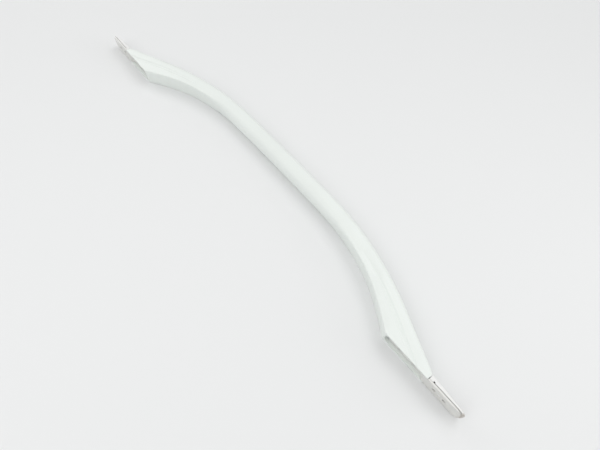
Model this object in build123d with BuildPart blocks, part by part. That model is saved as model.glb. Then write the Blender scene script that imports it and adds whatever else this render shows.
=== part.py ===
from build123d import *
from math import cos, radians, sin, sqrt, tan
import os

# White bowed door handle of a kitchen appliance, modelled as it lies on one flank.
# X runs along the handle, Y points away from the door and Z is across the grip.
# The door plane is Y = 0. The origin is midway between the four door screw holes.
# All sizes are in millimetres.

# Length, and how the end of it divides into a tab and a foot
overall_length = 706.0
tab_length = 45.5
foot_length = 57.9

# Bow, seen from the flank
grip_width = 22.0
apex_height = 70.0
grip_depth = 22.4
tip_height = 7.6
grip_end_angle = 1.1
outer_bend_radius = 392.0
foot_angle = 24.4
inner_bend_radius = 234.0
heel_angle = 31.0
section_count = 25

# Rounding of the four long edges, and the least flat left between two of them
outer_grip_radius = 6.0
outer_tip_radius = 3.0
outer_blend_length = 102.5
inner_grip_radius = 10.0
inner_foot_radius = 1.2
inner_blend_length = 80.0
inner_blend_gap = 84.6
least_flat = 0.6

# Groove along each flank of a foot
groove_inset = 14.4
groove_radius = 4.5
groove_depth = 0.9
groove_fade_angle = 12.5
groove_overrun = 1.25

# Hollow of a foot, open towards the door
side_wall = 2.2
heel_rim = 1.6
roof_wall = 2.4
tip_wall = 2.2
recess_depth = 16.0
recess_end_radius = 7.0
roof_bend_radius = 3.0
recess_edge_radius = 1.6
rib_thickness = 1.4
boss_radius = 3.6
outer_boss_inset = 18.5
boss_spacing = 19.0

# Mounting plate, a steel strip: a narrow tongue in the foot, joggled down to the door plane at
# the tip, and a wide end under the tab cover
plate_thickness = 2.0
tongue_end_gap = 4.3
tongue_inset = 3.8
tongue_side_clearance = 0.3
tongue_notch_clearance = 0.3
tongue_corner_radius = 3.0
joggle_inset = 3.5
joggle_run = 4.0
joggle_bend_radius = 0.8
plate_side_inset = 0.5
plate_end_inset = 2.6
plate_corner_radius = 7.0
door_hole_radius = 2.3
outer_door_hole_inset = 21.0
door_hole_spacing = 13.0

# Tab cover, a wedge-shaped cap over the plate
tab_corner_radius = 6.0
cover_foot_length = 4.5
seam_gap = 0.8
slot_gap = 0.5
cover_wall = 1.5
cover_end_height = 3.3
cover_end_radius = 0.6
cover_rib_thickness = 1.2
cover_rib_width = 13.0
peg_radius = 1.9
peg_clearance = 0.1
peg_end_clearance = 0.3
end_rib_inset = 14.0
pry_notch_width = 2.0
pry_notch_height = 0.9

# Self-tapping plate screws
screw_shank_radius = 1.6
screw_clearance = 0.12
screw_length = 8.0
screw_point_length = 1.6
screw_head_radius = 3.5
screw_head_height = 1.3
drive_width = 1.0
drive_reach = 3.6
drive_depth = 0.8
pilot_end_clearance = 0.6

# Places along the right half, counted back from its end
cover_end_x = overall_length / 2
foot_tip_x = cover_end_x - tab_length
heel_x = foot_tip_x - foot_length
recess_start_x = heel_x + heel_rim
outer_boss_x = foot_tip_x - outer_boss_inset
inner_boss_x = outer_boss_x - boss_spacing
tongue_root_x = recess_start_x + tongue_end_gap
joggle_end_x = foot_tip_x - joggle_inset
outer_door_hole_x = cover_end_x - outer_door_hole_inset
inner_door_hole_x = outer_door_hole_x - door_hole_spacing
peg_x = (inner_door_hole_x + outer_door_hole_x) / 2
end_rib_x = cover_end_x - end_rib_inset
plate_end_x = cover_end_x - plate_end_inset
cover_root_x = foot_tip_x + seam_gap
cover_foot_end_x = cover_root_x + cover_foot_length

# Worked out from the sizes above
half_width = grip_width / 2
largest_rounding = half_width - least_flat / 2
recess_width = grip_width - 2 * side_wall
tongue_width = recess_width - 2 * tongue_side_clearance
plate_width = grip_width - 2 * plate_side_inset
seat_height = tongue_inset + plate_thickness
screw_hole_radius = screw_shank_radius + screw_clearance
tip_notch_height = plate_thickness + tongue_notch_clearance
cover_rim_height = plate_thickness + slot_gap
cut_margin = 1.0


def ease(x, start, end):
    """0 up to start, 1 from end, with a smooth rise between them."""
    t = min(max((x - start) / (end - start), 0.0), 1.0)
    return t * t * (3 - 2 * t)


def grip_half_length(apex, end_x, end_height, bend_radius, end_angle):
    """Distance from the middle to the start of the bend, for which the straight foot passes
    through (end_x, end_height)."""
    start_slope, end_slope = radians(grip_end_angle), radians(end_angle)
    bend_run = bend_radius * (sin(end_slope) - sin(start_slope))
    bend_drop = bend_radius * (cos(start_slope) - cos(end_slope))
    rise = apex - end_height - bend_drop - (end_x - bend_run) * tan(end_slope)
    return rise / (tan(start_slope / 2) - tan(end_slope))


def bow_line(x, apex, end_x, end_height, bend_radius, end_angle):
    """Height at x of one long edge of the bow: a slightly arched grip, a round bend and a
    straight foot."""
    start_slope, end_slope = radians(grip_end_angle), radians(end_angle)
    grip_half = grip_half_length(apex, end_x, end_height, bend_radius, end_angle)
    grip_arc_radius = grip_half / sin(start_slope)
    bend_run = bend_radius * (sin(end_slope) - sin(start_slope))
    x = abs(x)
    if x <= grip_half:
        return apex - grip_arc_radius + sqrt(grip_arc_radius**2 - x**2)
    if x <= grip_half + bend_run:
        sine = sin(start_slope) + (x - grip_half) / bend_radius
        bend_drop = bend_radius * (cos(start_slope) - sqrt(1 - sine**2))
        return apex - grip_half * tan(start_slope / 2) - bend_drop
    return end_height + (end_x - x) * tan(end_slope)


outer_line = (apex_height, foot_tip_x, tip_height, outer_bend_radius, foot_angle)
inner_line = (apex_height - grip_depth, heel_x, 0.0, inner_bend_radius, heel_angle)


def rounding(x):
    """Corner radii of the bow's section at x, on the outer and on the inner side."""
    inner_blend_end_x = heel_x - inner_blend_gap
    outer_share = ease(abs(x), foot_tip_x - outer_blend_length, foot_tip_x)
    inner_share = ease(abs(x), inner_blend_end_x - inner_blend_length, inner_blend_end_x)
    outer = outer_grip_radius + (outer_tip_radius - outer_grip_radius) * outer_share
    inner = inner_grip_radius + (inner_foot_radius - inner_grip_radius) * inner_share
    return min(outer, largest_rounding), min(inner, largest_rounding)


# Cutter for the groove on the upper flank of the right foot: a round bar that runs straight up
# the foot, then follows the bend and tilts, so that it rises out of the flank towards the grip
foot_slope = radians(foot_angle)
along_foot = Vector(-cos(foot_slope), sin(foot_slope), 0)
inward = Vector(-sin(foot_slope), -cos(foot_slope), 0)
bend_run = outer_bend_radius * (sin(foot_slope) - sin(radians(grip_end_angle)))
bend_end_x = grip_half_length(*outer_line) + bend_run
groove_bend_radius = outer_bend_radius - groove_inset
groove_fade = radians(groove_fade_angle)
groove_tilt = groove_depth / (groove_bend_radius * (1 - cos(groove_fade)))
lifted_inward = inward * sqrt(1 - groove_tilt**2) + Vector(0, 0, groove_tilt)
bar_height = half_width + groove_radius - groove_depth
groove_bend = Vector(bend_end_x, bow_line(bend_end_x, *outer_line), bar_height) + inward * groove_inset
groove_foot = groove_bend - along_foot * ((foot_tip_x - bend_end_x) / cos(foot_slope))
bar_turn = groove_fade * groove_overrun
bar_lift = along_foot * sin(bar_turn) + lifted_inward * (1 - cos(bar_turn))
with BuildPart() as groove_cutter:
    with BuildLine() as groove_path:
        Line(groove_foot, groove_bend)
        TangentArc(groove_bend, groove_bend + bar_lift * groove_bend_radius, tangent=along_foot)
    with BuildSketch(Plane(groove_foot, z_dir=along_foot)):
        Circle(groove_radius)
    sweep(path=groove_path.line)

# Core of the right foot's hollow. Two bosses and the ribs between them are left standing in it
roof_drop = roof_wall / cos(foot_slope)
roof_slope = tan(foot_slope)
tip_face_x = foot_tip_x - tip_wall
roof_tip_height = tip_height + tip_wall * roof_slope - roof_drop
roof_bend_x = tip_face_x - (recess_depth - roof_tip_height) / roof_slope
with BuildPart() as recess_core:
    with BuildSketch(Plane.XY) as recess_profile:
        with BuildLine():
            Polyline(
                (recess_start_x, -cut_margin),
                (recess_start_x, recess_depth),
                (roof_bend_x, recess_depth),
                (tip_face_x, roof_tip_height),
                (tip_face_x, -cut_margin),
                close=True,
            )
        make_face()
        roof_corners = recess_profile.vertices().group_by(Axis.Y)[-1]
        fillet(roof_corners.sort_by(Axis.X)[-1], roof_bend_radius)
    extrude(amount=recess_width / 2, both=True)
    with BuildSketch(Plane.XZ) as recess_plan:
        with Locations(((recess_start_x + foot_tip_x) / 2, 0)):
            Rectangle(foot_tip_x - recess_start_x, recess_width)
        fillet(recess_plan.vertices().group_by(Axis.X)[0], recess_end_radius)
    extrude(amount=recess_depth + cut_margin, both=True, mode=Mode.INTERSECT)
    flank_edges = recess_core.faces().filter_by(Axis.Z).edges().filter_by(Axis.Y, reverse=True)
    fillet(flank_edges.filter_by_position(Axis.Y, seat_height, recess_depth), recess_edge_radius)
    with BuildSketch(Plane.XZ.offset(-seat_height)):
        with Locations((inner_boss_x, 0), (outer_boss_x, 0)):
            Circle(boss_radius)
            Rectangle(rib_thickness, recess_width + cut_margin)
        with Locations(((recess_start_x + outer_boss_x) / 2, 0)):
            Rectangle(outer_boss_x - recess_start_x, rib_thickness)
    extrude(amount=-(recess_depth - seat_height + cut_margin), mode=Mode.SUBTRACT)
    with BuildSketch(Plane.XY):
        with BuildLine():
            Polyline(
                (tip_face_x - cut_margin, -cut_margin),
                (tip_face_x - cut_margin, tip_notch_height),
                (foot_tip_x + cut_margin, tip_notch_height),
                (foot_tip_x + cut_margin, -cut_margin),
                close=True,
            )
        make_face()
    extrude(amount=recess_width / 2, both=True)

# One-piece moulded bow with its two hollow feet
with BuildPart() as grip_body:
    for i in range(section_count):
        x = foot_tip_x * (2 * i / (section_count - 1) - 1)
        outer_height = bow_line(x, *outer_line)
        inner_height = bow_line(x, *inner_line)
        outer_radius, inner_radius = rounding(x)
        with BuildSketch(Plane.YZ.offset(x)) as section:
            with Locations(((outer_height + inner_height) / 2, 0)):
                Rectangle(outer_height - inner_height, grip_width)
            fillet(section.vertices().group_by(Axis.X)[-1], outer_radius)
            fillet(section.vertices().group_by(Axis.X)[0], inner_radius)
    loft()
    split(bisect_by=Plane.XZ, keep=Keep.BOTTOM)
    upper_groove = groove_cutter.part
    lower_groove = mirror(upper_groove, about=Plane.XY, mode=Mode.PRIVATE)
    for cutter in (upper_groove, lower_groove, recess_core.part):
        add(cutter, mode=Mode.SUBTRACT)
        add(mirror(cutter, about=Plane.YZ, mode=Mode.PRIVATE), mode=Mode.SUBTRACT)
    with BuildSketch(Plane.XZ.offset(-seat_height)):
        for side in (-1, 1):
            with Locations((side * inner_boss_x, 0), (side * outer_boss_x, 0)):
                Circle(screw_hole_radius)
    pilot_depth = screw_length - plate_thickness + pilot_end_clearance
    extrude(amount=-pilot_depth, mode=Mode.SUBTRACT)
grip_body.part.label = "grip_body"

# Mounting plate of the right foot
joggle_start_x = joggle_end_x - joggle_run
joggle_length = sqrt(joggle_run**2 + tongue_inset**2)
mitre = plate_thickness * (joggle_length - joggle_run) / tongue_inset
with BuildPart() as plate_right:
    with BuildSketch(Plane.XY) as plate_profile:
        with BuildLine():
            Polyline(
                (tongue_root_x, tongue_inset),
                (joggle_start_x, tongue_inset),
                (joggle_end_x, 0),
                (plate_end_x, 0),
                (plate_end_x, plate_thickness),
                (joggle_end_x + mitre, plate_thickness),
                (joggle_start_x + mitre, seat_height),
                (tongue_root_x, seat_height),
                close=True,
            )
        make_face()
        bends = plate_profile.vertices().filter_by_position(
            Axis.X, joggle_start_x - cut_margin, joggle_end_x + mitre + cut_margin
        )
        hollow_bends = ShapeList([bends.sort_by(Axis.X)[0], bends.sort_by(Axis.X)[-1]])
        round_bends = ShapeList([bends.sort_by(Axis.X)[1], bends.sort_by(Axis.X)[2]])
        fillet(hollow_bends, joggle_bend_radius)
        fillet(round_bends, joggle_bend_radius + plate_thickness)
    extrude(amount=plate_width / 2, both=True)
    with BuildSketch(Plane.XZ) as plate_plan:
        with Locations(((tongue_root_x + cover_root_x) / 2, 0)):
            Rectangle(cover_root_x - tongue_root_x, tongue_width)
        with Locations(((cover_root_x + plate_end_x) / 2, 0)):
            Rectangle(plate_end_x - cover_root_x, plate_width)
        fillet(plate_plan.vertices().group_by(Axis.X)[0], tongue_corner_radius)
        fillet(plate_plan.vertices().group_by(Axis.X)[-1], plate_corner_radius)
        with Locations((inner_door_hole_x, 0), (outer_door_hole_x, 0)):
            Circle(door_hole_radius, mode=Mode.SUBTRACT)
        with Locations((inner_boss_x, 0), (outer_boss_x, 0)):
            Circle(screw_hole_radius, mode=Mode.SUBTRACT)
        with Locations((peg_x, 0)):
            Circle(peg_radius + peg_clearance, mode=Mode.SUBTRACT)
    extrude(amount=-(seat_height + cut_margin), both=True, mode=Mode.INTERSECT)

# Cover of the right tab, hollow underneath. Its root, a peg and two ribs stand on the plate, and
# round the rest of it a slot is left above the plate
cover_slope = (tip_height - cover_end_height) / (cover_end_x - foot_tip_x)
roof_root_height = tip_height - seam_gap * cover_slope
cover_roof_root = roof_root_height - cover_wall * (1 + cover_slope)
cavity_end_x = cover_root_x + (cover_roof_root - cover_rim_height) / cover_slope
with BuildPart() as cover_right:
    for x, height, corner in (
        (cover_root_x, roof_root_height, outer_tip_radius),
        (cover_end_x, cover_end_height, cover_end_radius),
    ):
        with BuildSketch(Plane.YZ.offset(x)) as cover_section:
            with Locations(((height + plate_thickness) / 2, 0)):
                Rectangle(height - plate_thickness, grip_width)
            fillet(cover_section.vertices().group_by(Axis.X)[-1], corner)
    loft(ruled=True)
    with BuildSketch(Plane.XZ) as cover_plan:
        with Locations(((cover_root_x + cover_end_x) / 2, 0)):
            Rectangle(cover_end_x - cover_root_x, grip_width)
        fillet(cover_plan.vertices().group_by(Axis.X)[-1], tab_corner_radius)
    extrude(amount=-(tip_height + cut_margin), mode=Mode.INTERSECT)
    with BuildSketch(Plane.XY):
        with BuildLine():
            Polyline(
                (cover_root_x + cover_wall, cover_rim_height - cut_margin),
                (cover_root_x + cover_wall, cover_roof_root),
                (cavity_end_x, cover_rim_height),
                (cavity_end_x, cover_rim_height - cut_margin),
                close=True,
            )
        make_face()
    extrude(amount=half_width - cover_wall, both=True, mode=Mode.SUBTRACT)
    with BuildSketch(Plane.XZ.offset(-cover_rim_height)):
        with Locations(((cover_foot_end_x + cover_end_x + cut_margin) / 2, 0)):
            Rectangle(cover_end_x + cut_margin - cover_foot_end_x, grip_width + cut_margin)
    extrude(amount=cut_margin, mode=Mode.SUBTRACT)
    with BuildSketch(Plane.XZ.offset(-plate_thickness)):
        with Locations((peg_x, 0), (end_rib_x, 0)):
            Rectangle(cover_rib_thickness, cover_rib_width)
        with Locations((peg_x, 0)):
            Circle(peg_radius)
    extrude(until=Until.NEXT, dir=(0, 1, 0))
    with BuildSketch(Plane.XZ.offset(-peg_end_clearance)):
        with Locations((peg_x, 0)):
            Circle(peg_radius)
    extrude(amount=-(plate_thickness - peg_end_clearance))
    with BuildSketch(Plane.XZ.offset(-(cover_rim_height - cut_margin))):
        with Locations((cover_foot_end_x + pry_notch_width / 2, 0)):
            Rectangle(pry_notch_width, grip_width + cut_margin)
    extrude(amount=-(cut_margin + pry_notch_height), mode=Mode.SUBTRACT)

# One plate screw, standing on the plate with its head towards the door
with BuildPart() as plate_screw:
    with BuildSketch(Plane.XY):
        with BuildLine():
            head_dome = ThreePointArc(
                (0, tongue_inset - screw_head_height),
                (screw_head_radius * sin(radians(45)), tongue_inset - screw_head_height * cos(radians(45))),
                (screw_head_radius, tongue_inset - screw_head_height / 3),
            )
            Polyline(
                head_dome @ 1,
                (screw_head_radius, tongue_inset),
                (screw_shank_radius, tongue_inset),
                (screw_shank_radius, tongue_inset + screw_length - screw_point_length),
                (0, tongue_inset + screw_length),
                (0, tongue_inset - screw_head_height),
            )
        make_face()
    revolve(axis=Axis.Y)
    with BuildSketch(Plane.XZ.offset(-(tongue_inset - screw_head_height))):
        Rectangle(drive_width, drive_reach)
        Rectangle(drive_reach, drive_width)
    extrude(amount=-drive_depth, both=True, mode=Mode.SUBTRACT)

# The left foot's pieces mirror the right foot's, and each boss takes one screw
os.makedirs("parts", exist_ok=True)
export_step(grip_body.part, "parts/grip_body.step")
for name, right_piece in (("mounting_plate", plate_right), ("tab_cover", cover_right)):
    with BuildPart() as left_piece:
        mirror(right_piece.part, about=Plane.YZ)
    right_piece.part.label = name + "_right"
    left_piece.part.label = name + "_left"
    export_step(right_piece.part, "parts/" + name + "_right.step")
    export_step(left_piece.part, "parts/" + name + "_left.step")
for side_name, side in (("left", -1), ("right", 1)):
    for place, boss_x in (("inner", inner_boss_x), ("outer", outer_boss_x)):
        with BuildPart() as screw:
            with Locations((side * boss_x, 0, 0)):
                add(plate_screw.part)
        screw.part.label = "plate_screw_" + side_name + "_" + place
        export_step(screw.part, "parts/" + screw.part.label + ".step")
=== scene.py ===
from math import cos, radians, sin

import bmesh
import bpy
from mathutils import Matrix, Vector


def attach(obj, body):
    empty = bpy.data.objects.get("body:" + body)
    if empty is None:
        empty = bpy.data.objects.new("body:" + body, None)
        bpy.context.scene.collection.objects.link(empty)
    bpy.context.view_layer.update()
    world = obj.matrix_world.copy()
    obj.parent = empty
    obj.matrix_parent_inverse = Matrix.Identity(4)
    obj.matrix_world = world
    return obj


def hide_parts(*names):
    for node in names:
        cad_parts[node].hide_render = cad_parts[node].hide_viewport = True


# A white bowed appliance door handle, lying on one flank on a pale floor.
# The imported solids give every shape. This script gives them their edges, finishes and light.
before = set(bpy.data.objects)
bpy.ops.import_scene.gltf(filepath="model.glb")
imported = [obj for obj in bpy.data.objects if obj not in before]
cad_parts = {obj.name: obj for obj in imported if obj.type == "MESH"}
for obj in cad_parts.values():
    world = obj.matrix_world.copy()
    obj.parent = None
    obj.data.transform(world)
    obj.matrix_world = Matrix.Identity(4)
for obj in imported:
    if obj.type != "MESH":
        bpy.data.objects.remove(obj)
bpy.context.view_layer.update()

MM = 0.001

# Camera, as fitted to the photograph: position, heading and how far it looks down
CAMERA_PLACE = (282.5 * MM, -138.1 * MM, 440.2 * MM)
CAMERA_HEADING = 140.73
CAMERA_PITCH = 60.93
FOCAL_PIXELS = 420.08
FRAME_PIXELS = 600
SENSOR_WIDTH = 36.0
# How far the picture's centre lies from the lens axis, in pixels
PICTURE_CENTRE_OFFSET = (1.5, 0.5)

# The handle lies on the flank that faces down
FLOOR_HEIGHT = -11 * MM
FLOOR_SIZE = 12.0

# Light: a white room, and soft square lights that face the middle of the handle, each with its
# degrees round from +X, degrees above the floor, distance and width in metres, and watts
ROOM_BRIGHTNESS = 0.515
SOFT_LIGHTS = {
    "high_outer_side": (90, 55, 2.2, 1.2, 9.35),
    "high_door_side": (270, 60, 1.2, 1.0, 4.2),
    "low_door_side": (270, 25, 2.2, 1.2, 3.8),
    "far_end": (180, 25, 2.2, 1.2, 8.1),
    "low_outer_corner": (40, 12, 2.2, 1.0, 9.15),
    "near_end": (25, 35, 0.8, 0.4, 0.42),
}

# Painted shade and brown grime round the near tab's end: where it begins and is whole along X, and
# its patches
SHADE_AND_GRIME_START = 348.8 * MM
SHADE_AND_GRIME_FULL = 350.8 * MM
SHADE_AND_GRIME_PATCH = 1.5 * MM
SHADE_AND_GRIME_COLOUR = "BDB5AC"

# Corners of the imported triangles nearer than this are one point, and edges that turn by less
# than this are smooth
SAME_POINT = 0.002 * MM
SMOOTH_BELOW = radians(24)


def colour(code):
    """An sRGB hex colour as linear red, green, blue and alpha."""
    channels = [int(code[i:i + 2], 16) / 255 for i in (0, 2, 4)]
    linear = [c / 12.92 if c <= 0.04045 else ((c + 0.055) / 1.055) ** 2.4 for c in channels]
    return (*linear, 1.0)


def add(tree, kind, inputs=None, **settings):
    """Adds a node to a tree, sets it, and fills its inputs, by name or number, with values or
    other nodes' outputs."""
    node = tree.nodes.new(kind)
    for name, value in settings.items():
        setattr(node, name, value)
    for name, value in (inputs or {}).items():
        if isinstance(value, bpy.types.NodeSocket):
            tree.links.new(value, node.inputs[name])
        else:
            node.inputs[name].default_value = value
    return node


def new_material(name):
    """An empty material and its node tree."""
    material = bpy.data.materials.new(name)
    material.use_nodes = True
    material.node_tree.nodes.clear()
    return material, material.node_tree


def clouded_tone(tree, place, cloud_size, detail, span, dark, light):
    """A tone that drifts from dark to light over clouds of a real size, and the clouds."""
    clouds = add(tree, "ShaderNodeTexNoise", {
        "Vector": place, "Scale": 1 / cloud_size, "Detail": detail,
    })
    tone = add(tree, "ShaderNodeValToRGB", {"Fac": clouds.outputs["Fac"]})
    for stop, position, code in zip(tone.color_ramp.elements, span, (dark, light)):
        stop.position = position
        stop.color = colour(code)
    return tone.outputs["Color"], clouds.outputs["Fac"]


def shaded_and_stained_end(tree, place, tone):
    """Tone with painted shade and brown grime worked into the last millimetres of the near tab.
    The eye gets a patchy grey-brown edge round its end, darkened as painted shade."""
    along = add(tree, "ShaderNodeSeparateXYZ", {"Vector": place}).outputs["X"]
    share = add(tree, "ShaderNodeMapRange", {
        "Value": along, "From Min": SHADE_AND_GRIME_START, "From Max": SHADE_AND_GRIME_FULL,
    })
    patches = add(tree, "ShaderNodeTexNoise", {
        "Vector": place, "Scale": 1 / SHADE_AND_GRIME_PATCH, "Detail": 2.0,
    })
    strength = add(tree, "ShaderNodeMapRange", {
        "Value": patches.outputs["Fac"], "From Min": 0.35, "From Max": 0.6, "To Min": 0.6,
    })
    # Painted shade with brown grime: the tab's end is darkened towards the grime colour, in
    # patches
    shade_and_grime = add(tree, "ShaderNodeMath", {
        0: share.outputs["Result"], 1: strength.outputs["Result"],
    }, operation="MULTIPLY")
    shaded_and_stained = add(tree, "ShaderNodeMixRGB", {
        "Fac": shade_and_grime.outputs["Value"], "Color1": tone, "Color2": colour(SHADE_AND_GRIME_COLOUR),
    })
    return shaded_and_stained.outputs["Color"]


def moulded_abs(name, light, dark):
    """White ABS, injection moulded in a fine spark-textured tool. The eye gets a soft satin sheen,
    a faint unevenness of tone from handling and a barely broken highlight."""
    material, tree = new_material(name)
    place = add(tree, "ShaderNodeTexCoord").outputs["Object"]
    # Tone drifts over a hand's width
    hand_width = 90 * MM
    tone, _ = clouded_tone(tree, place, hand_width, 2.0, (0.35, 0.65), dark, light)
    # Sink and flow unevenness of thick moulded walls, from hollow to hollow and in depth
    sink_spacing, sink_depth = 14 * MM, 0.4 * MM
    flow = add(tree, "ShaderNodeTexNoise", {
        "Vector": place, "Scale": 1 / sink_spacing, "Detail": 1.0,
    })
    rough = add(tree, "ShaderNodeMapRange", {
        "Value": flow.outputs["Fac"], "To Min": 0.36, "To Max": 0.44,
    })
    sink = add(tree, "ShaderNodeBump", {
        "Height": flow.outputs["Fac"], "Strength": 0.12, "Distance": sink_depth,
    })
    # Grain of the tool, about 0.1 mm in fact, drawn coarser so that it shows
    grain_spacing, grain_depth = 0.6 * MM, 0.02 * MM
    grain = add(tree, "ShaderNodeTexNoise", {
        "Vector": place, "Scale": 1 / grain_spacing, "Detail": 3.0,
    })
    relief = add(tree, "ShaderNodeBump", {
        "Height": grain.outputs["Fac"], "Strength": 0.18, "Distance": grain_depth,
        "Normal": sink.outputs["Normal"],
    })
    surface = add(tree, "ShaderNodeBsdfPrincipled", {
        # The base colour carries painted shade and brown grime at the near tab's end
        "Base Color": shaded_and_stained_end(tree, place, tone), "Roughness": rough.outputs["Result"],
        "IOR": 1.54, "Normal": relief.outputs["Normal"],
    })
    add(tree, "ShaderNodeOutputMaterial", {"Surface": surface.outputs["BSDF"]})
    return material


def powder_coated_steel(name, light, dark):
    """White powder coat baked on steel strip. The eye gets a dense neutral white, a little
    pebbled where the powder flowed together, with more gloss than the plastic beside it."""
    material, tree = new_material(name)
    place = add(tree, "ShaderNodeTexCoord").outputs["Object"]
    # The coat is thicker and thinner in clouds
    cloud_size = 25 * MM
    tone, _ = clouded_tone(tree, place, cloud_size, 2.0, (0.35, 0.65), dark, light)
    # Orange peel of the coat, from hollow to hollow and in depth
    peel_spacing, peel_depth = 1.2 * MM, 0.03 * MM
    peel = add(tree, "ShaderNodeTexNoise", {
        "Vector": place, "Scale": 1 / peel_spacing, "Detail": 1.0,
    })
    relief = add(tree, "ShaderNodeBump", {
        "Height": peel.outputs["Fac"], "Strength": 0.2, "Distance": peel_depth,
    })
    surface = add(tree, "ShaderNodeBsdfPrincipled", {
        # The base colour carries painted shade and brown grime at the near tab's end
        "Base Color": shaded_and_stained_end(tree, place, tone), "Roughness": 0.3, "IOR": 1.5,
        "Normal": relief.outputs["Normal"],
    })
    add(tree, "ShaderNodeOutputMaterial", {"Surface": surface.outputs["BSDF"]})
    return material


def zinc_plated_steel(name, light, dark):
    """Cold-headed steel with dull zinc plating. The eye gets a pale neutral metal, cloudy in
    patches, with a fine grain."""
    material, tree = new_material(name)
    place = add(tree, "ShaderNodeTexCoord").outputs["Object"]
    # The plating is duller in patches
    patch_size = 7 * MM
    tone, patches = clouded_tone(tree, place, patch_size, 4.0, (0.3, 0.7), dark, light)
    rough = add(tree, "ShaderNodeMapRange", {"Value": patches, "To Min": 0.45, "To Max": 0.6})
    # Crystals of the plating, far finer in fact, drawn coarser so that they show
    grain_spacing, grain_depth = 0.3 * MM, 0.01 * MM
    grain = add(tree, "ShaderNodeTexNoise", {
        "Vector": place, "Scale": 1 / grain_spacing, "Detail": 2.0,
    })
    relief = add(tree, "ShaderNodeBump", {
        "Height": grain.outputs["Fac"], "Strength": 0.2, "Distance": grain_depth,
    })
    surface = add(tree, "ShaderNodeBsdfPrincipled", {
        "Base Color": tone, "Metallic": 1.0, "Roughness": rough.outputs["Result"],
        "Normal": relief.outputs["Normal"],
    })
    add(tree, "ShaderNodeOutputMaterial", {"Surface": surface.outputs["BSDF"]})
    return material


def paper_floor():
    """Matt white background paper. The eye gets an even pale ground with no sheen."""
    material, tree = new_material("white_background_paper")
    surface = add(tree, "ShaderNodeBsdfPrincipled", {
        "Base Color": colour("E8E9E9"), "Roughness": 0.9,
    })
    add(tree, "ShaderNodeOutputMaterial", {"Surface": surface.outputs["BSDF"]})
    return material


def dress(node, name, material):
    """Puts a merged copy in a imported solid's place: smooth over its curves and crisp at its
    edges, with its own finish."""
    form = bmesh.new()
    form.from_mesh(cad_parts[node].data)
    bmesh.ops.remove_doubles(form, verts=form.verts, dist=SAME_POINT)
    bmesh.ops.dissolve_degenerate(form, edges=form.edges, dist=SAME_POINT)
    for face in form.faces:
        face.smooth = True
    for edge in form.edges:
        edge.smooth = len(edge.link_faces) == 2 and edge.calc_face_angle() < SMOOTH_BELOW
    mesh = bpy.data.meshes.new(name)
    form.to_mesh(mesh)
    form.free()
    mesh.materials.append(material)
    piece = bpy.data.objects.new(name, mesh)
    bpy.context.scene.collection.objects.link(piece)
    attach(piece, "root")
    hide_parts(node)


def soft_light(name, turn, rise, distance, width, power):
    """A square light that faces the middle of the handle, turn degrees round from +X and rise
    degrees above the floor."""
    light = bpy.data.lights.new(name, "AREA")
    light.size = width
    light.energy = power
    lamp = bpy.data.objects.new(name, light)
    turn, rise = radians(turn), radians(rise)
    lamp.location = distance * Vector((cos(rise) * cos(turn), cos(rise) * sin(turn), sin(rise)))
    lamp.rotation_mode = "QUATERNION"
    lamp.rotation_quaternion = (-lamp.location).to_track_quat("-Z", "Y")
    bpy.context.scene.collection.objects.link(lamp)


# Finishes, each with its lighter and darker tone
grip_finish = moulded_abs("grip_white_moulded_abs", "E8EDE9", "E5EAE6")
cover_finish = moulded_abs("cover_white_moulded_abs", "ECECEB", "E8E8E6")
plate_finish = powder_coated_steel("plate_white_powder_coated_steel", "E0E0DC", "D8D8D4")
screw_finish = zinc_plated_steel("screw_zinc_plated_steel", "EAEAE8", "D6D7D6")

# Pieces
dress("grip_body", "moulded_grip", grip_finish)
for side in ("left", "right"):
    dress("mounting_plate_" + side, "joggled_plate_" + side, plate_finish)
    dress("tab_cover_" + side, "tab_cap_" + side, cover_finish)
    for place in (side + "_inner", side + "_outer"):
        dress("plate_screw_" + place, "pan_head_screw_" + place, screw_finish)

# Floor
floor_form = bmesh.new()
bmesh.ops.create_grid(floor_form, x_segments=1, y_segments=1, size=FLOOR_SIZE / 2)
bmesh.ops.translate(floor_form, verts=floor_form.verts, vec=(0, 0, FLOOR_HEIGHT))
floor_mesh = bpy.data.meshes.new("floor")
floor_form.to_mesh(floor_mesh)
floor_form.free()
floor_mesh.materials.append(paper_floor())
floor = bpy.data.objects.new("floor", floor_mesh)
bpy.context.scene.collection.objects.link(floor)

# Camera
heading, pitch = radians(CAMERA_HEADING), radians(CAMERA_PITCH)
forward = Vector((cos(heading) * cos(pitch), sin(heading) * cos(pitch), -sin(pitch)))
right = Vector((sin(heading), -cos(heading), 0))
up = right.cross(forward)
lens = bpy.data.cameras.new("camera")
lens.sensor_width = SENSOR_WIDTH
lens.lens = FOCAL_PIXELS / FRAME_PIXELS * SENSOR_WIDTH
lens.shift_x = -PICTURE_CENTRE_OFFSET[0] / FRAME_PIXELS
lens.shift_y = PICTURE_CENTRE_OFFSET[1] / FRAME_PIXELS
camera = bpy.data.objects.new("camera", lens)
turned = Matrix((right, up, -forward)).transposed().to_4x4()
camera.matrix_world = Matrix.Translation(CAMERA_PLACE) @ turned
bpy.context.scene.collection.objects.link(camera)
bpy.context.scene.camera = camera

# Light
world = bpy.data.worlds.new("white_room")
world.use_nodes = True
background = world.node_tree.nodes["Background"]
background.inputs["Color"].default_value = colour("FFFFFF")
background.inputs["Strength"].default_value = ROOM_BRIGHTNESS
bpy.context.scene.world = world
for name, setting in SOFT_LIGHTS.items():
    soft_light(name, *setting)
bpy.context.scene.view_settings.view_transform = "Standard"
